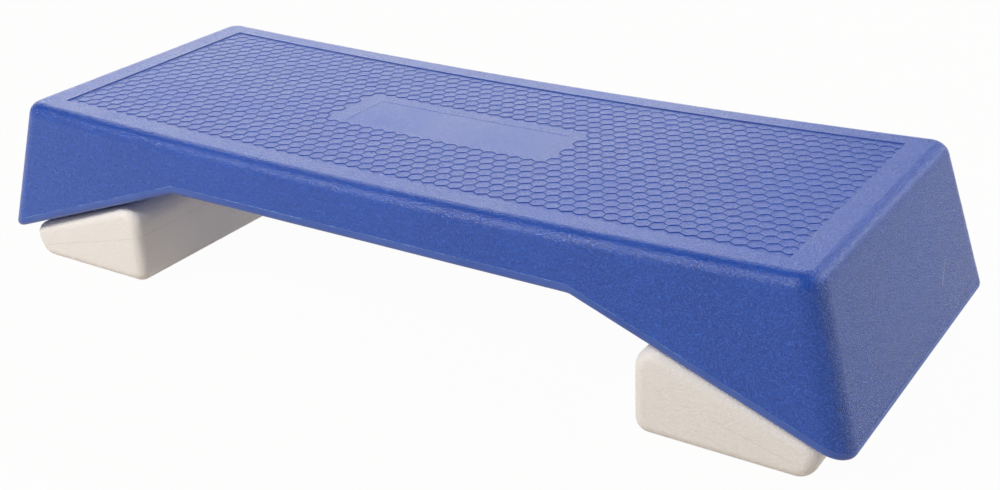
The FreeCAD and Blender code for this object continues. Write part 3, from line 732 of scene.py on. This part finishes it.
# %% Foot weld beads
FOOT_BEAD_RADIUS = 0.35 * MM
FOOT_BEAD_SUNK = 0.22 * MM
FOOT_SEAM = (0.670, 0.600, 0.530, 1.0)
FOOT_SEAM_PALE = (0.900, 0.840, 0.785, 1.0)
MOSTLY_UP = 0.85
SIDEWAYS = 0.01
LEAST_SLANT = 0.02

foot_bead_finish = seam_plastic("foot_bead", FOOT_SEAM, FOOT_SEAM_PALE, BEAD_PATCH)


def slant_of(piece):
    """Unit normal of a lower half's slanting joint face."""
    total = Vector()
    for face in piece.data.polygons:
        slants = face.normal.z > MOSTLY_UP and abs(face.normal.x) > LEAST_SLANT
        if slants and abs(face.normal.y) < SIDEWAYS:
            total += face.normal * face.area
    return total.normalized()


for side in SIDES:
    shell = parts[f"{side}_foot_lower_shell"]
    slant = slant_of(shell)
    lowest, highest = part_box(f"{side}_foot_lower_shell")
    middle = [(low + high) / 2 for low, high in zip(lowest, highest)]
    loop = seam_loop(shell, f"{side}_foot_weld_bead", lambda place: slant)
    foot = f"{side}_foot"
    make_bead(loop, FOOT_BEAD_RADIUS, middle, FOOT_BEAD_SUNK, foot_bead_finish, foot)
    print(side, "joint looks", tuple(round(share, 3) for share in slant))

# %% [markdown]
# ## Ringed rubber pads
# The pads under the feet have moulded rings so that they bite on a dusty floor. A short cylinder gets a
# rounded lower rim, and its underside is inset again and again, in and out, for the rings. The finished
# pad is copied to the place of each plain pad and stands in for it.

# %% One pad
lowest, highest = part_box("right_near_inner_pad")
PAD_RADIUS = (highest[0] - lowest[0]) / 2
PAD_HEIGHT = highest[2] - lowest[2]
PAD_SIDES = 48
PAD_ROUND = 1.0 * MM
PAD_ROUND_STEPS = 3
PAD_SMOOTH = math.radians(35.0)
RING_WIDTH = 2.2 * MM
RING_DEPTH = 0.7 * MM
RING_DRAFT = 0.35 * MM
RINGS = 3

bpy.ops.object.select_all(action="DESELECT")
bpy.ops.mesh.primitive_cylinder_add(vertices=PAD_SIDES, radius=PAD_RADIUS, depth=PAD_HEIGHT)
pad = bpy.context.object
bpy.ops.object.mode_set(mode="EDIT")
bpy.ops.mesh.select_mode(type="FACE")
bpy.ops.mesh.select_all(action="DESELECT")
bpy.ops.object.mode_set(mode="OBJECT")
pad.data.polygons.foreach_set("select", [face.normal.z < -FLAT_COSINE for face in pad.data.polygons])
bpy.ops.object.mode_set(mode="EDIT")
bpy.ops.mesh.bevel(offset=PAD_ROUND, segments=PAD_ROUND_STEPS, affect="EDGES")
bpy.ops.mesh.select_all(action="DESELECT")
bpy.ops.object.mode_set(mode="OBJECT")
sole = max(pad.data.polygons, key=lambda face: -face.normal.z * face.area).index
pad.data.polygons.foreach_set("select", [face.index == sole for face in pad.data.polygons])
bpy.ops.object.mode_set(mode="EDIT")
for ring in range(RINGS):
    bpy.ops.mesh.inset(thickness=RING_WIDTH, depth=0.0)
    bpy.ops.mesh.inset(thickness=RING_DRAFT, depth=-RING_DEPTH)
    bpy.ops.mesh.inset(thickness=RING_WIDTH / 2, depth=0.0)
    bpy.ops.mesh.inset(thickness=RING_DRAFT, depth=RING_DEPTH)
bpy.ops.object.mode_set(mode="OBJECT")
bpy.ops.object.shade_smooth_by_angle(angle=PAD_SMOOTH)
dress(pad, rubber_finish)
print("one pad:", len(pad.data.polygons), "faces")

# %% Eight pads
pad_nodes = [name for name in parts if name.endswith("_pad")]
for name in pad_nodes:
    copy = pad.copy()
    copy.data = pad.data.copy()
    copy.name = f"{name}_ringed"
    lowest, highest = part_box(name)
    middle = [(low + high) / 2 for low, high in zip(lowest, highest)]
    copy.data.transform(Matrix.Translation(middle))
    bpy.context.scene.collection.objects.link(copy)
    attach(copy, f"{name.split('_')[0]}_foot")
    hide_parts(name)
bpy.data.objects.remove(pad)
print("pads:", len(pad_nodes))

# %% [markdown]
# ## The stage
# A plain pale floor under a surround that is white at the horizon and grows dark overhead, as in a studio
# with a black ceiling: the dark part is what gives the rounded top edges their deep blue line. The floor
# shows itself nearly white to the camera but keeps part of its real shading, so the shadow stays.

# %% Floor
FLOOR_SIZE = 30.0
FLOOR_PAPER = (0.62, 0.56, 0.485, 1.0)
FLOOR_GLOW = 0.97
WHITE = (1.0, 1.0, 1.0, 1.0)

bpy.ops.object.select_all(action="DESELECT")
bpy.ops.mesh.primitive_plane_add(size=FLOOR_SIZE)
floor = bpy.context.object
floor.name = "studio_floor"
floor_finish = bpy.data.materials.new("studio_white")
floor_finish.use_nodes = True
tree = floor_finish.node_tree
tree.nodes.clear()
path = add_node(tree, "ShaderNodeLightPath").outputs
mirrored = calc(tree, "MAXIMUM", path["Is Glossy Ray"], path["Is Transmission Ray"])
seen = calc(tree, "MAXIMUM", path["Is Camera Ray"], mirrored)
share = calc(tree, "MULTIPLY", seen, FLOOR_GLOW)
paper = add_node(tree, "ShaderNodeBsdfDiffuse", {"Color": FLOOR_PAPER}).outputs[0]
glow = add_node(tree, "ShaderNodeEmission", {"Color": WHITE, "Strength": 1.0}).outputs[0]
mixed = add_node(tree, "ShaderNodeMixShader", {0: share, 1: paper, 2: glow}).outputs[0]
add_node(tree, "ShaderNodeOutputMaterial", {"Surface": mixed})
floor.data.materials.append(floor_finish)
print("floor:", tuple(floor.dimensions))

# %% Surround
HORIZON = 1.0
CEILING = 0.10
CEILING_FROM = 0.42

world = bpy.data.worlds.new("studio_surround")
bpy.context.scene.world = world
world.use_nodes = True
tree = world.node_tree
tree.nodes.clear()
way = add_node(tree, "ShaderNodeTexCoord").outputs["Generated"]
strength = ramp(tree, split(tree, way)[2], 0.0, CEILING_FROM, HORIZON, CEILING)
sky = add_node(tree, "ShaderNodeBackground", {"Color": WHITE, "Strength": strength}).outputs[0]
add_node(tree, "ShaderNodeOutputWorld", {"Surface": sky})
print("surround:", len(tree.nodes), "nodes")

# %% [markdown]
# ## The lamps
# The key lamp stands high in front on the left, so the near side and the top are lit alike and the
# right-hand end stays in soft shade. A large panel behind on the left lies where the top mirrors it to the
# eye, which gives the tread its milky sheen. Three weaker ones finish the light: a panel high behind fills
# the top and the right-hand rounding, a small lamp on the right lifts the end out of the dark, and a panel
# far behind on the right gives the end its grey gloss. Each row holds a name, place, aim, sides and power.

# %% Lamps
LAMPS = (
    ("key_softbox", (-0.95, -1.9, 2.05), (0.0, 0.0, 0.1), (0.9, 0.9), 54.0),
    ("sheen_panel", (-2.12, 2.34, 1.27), (0.0, 0.0, 0.15), (3.4, 1.6), 42.5),
    ("back_panel", (0.5, 2.4, 2.1), (0.0, 0.0, 0.15), (1.6, 0.8), 15.0),
    ("right_overhead", (1.6, 0.5, 1.35), (0.4, 0.0, 0.1), (0.9, 0.9), 10.0),
    ("end_panel", (2.0, 2.6, 1.15), (0.5, 0.0, 0.1), (1.6, 1.2), 27.0),
)
for name, place, aim, sides, power in LAMPS:
    bpy.ops.object.light_add(type="AREA", location=place)
    lamp = bpy.context.object
    lamp.name = name
    lamp.data.shape = "RECTANGLE"
    lamp.data.size, lamp.data.size_y = sides
    lamp.data.energy = power
    lamp.rotation_euler = (Vector(aim) - Vector(place)).to_track_quat("-Z", "Y").to_euler()
print("lamps:", [row[0] for row in LAMPS])
